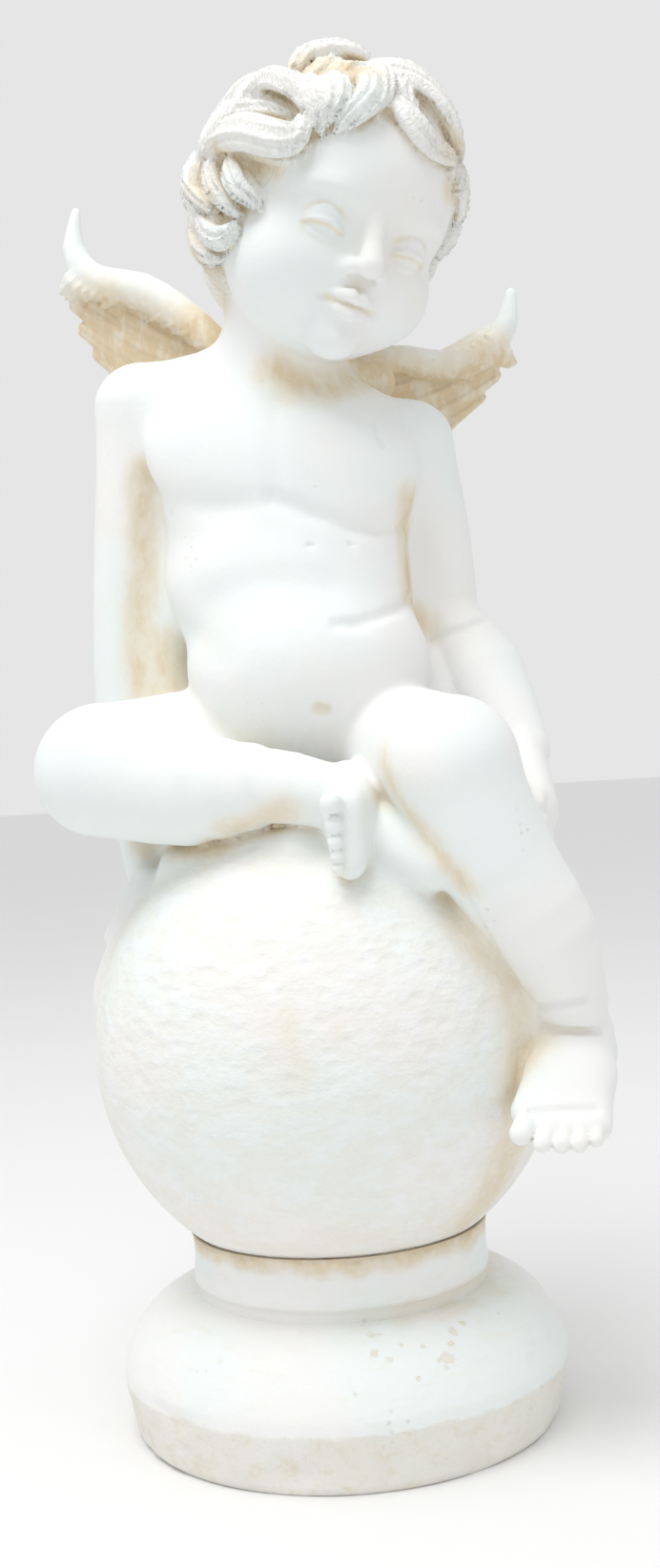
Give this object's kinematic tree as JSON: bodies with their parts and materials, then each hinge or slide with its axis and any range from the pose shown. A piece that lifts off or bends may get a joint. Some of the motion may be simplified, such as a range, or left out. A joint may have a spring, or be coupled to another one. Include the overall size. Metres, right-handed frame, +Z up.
{
  "type": "guardian angel figurine",
  "caption": "Winged child of cast plaster sitting on a ball, one foot crossed in front and one hanging, on a turned round plinth that it rests in",
  "frame": {"origin": "centre of the plinth's flat underside", "axes": "+Z up along the plinth's axis, -Y the side the child faces, +X the child's left"},
  "size_m": [0.2015, 0.172, 0.4986],
  "materials": {
    "cherub_plaster": "matte off-white cast plaster, cool where raised, with an ochre wash left in the hollows",
    "plinth_plaster": "matte off-white cast plaster, with an ochre groove and a rough olive-tan edge"
  },
  "bodies": {
    "root": {"cherub_on_ball": "cherub_plaster", "plinth": "plinth_plaster"}
  },
  "joints": []
}
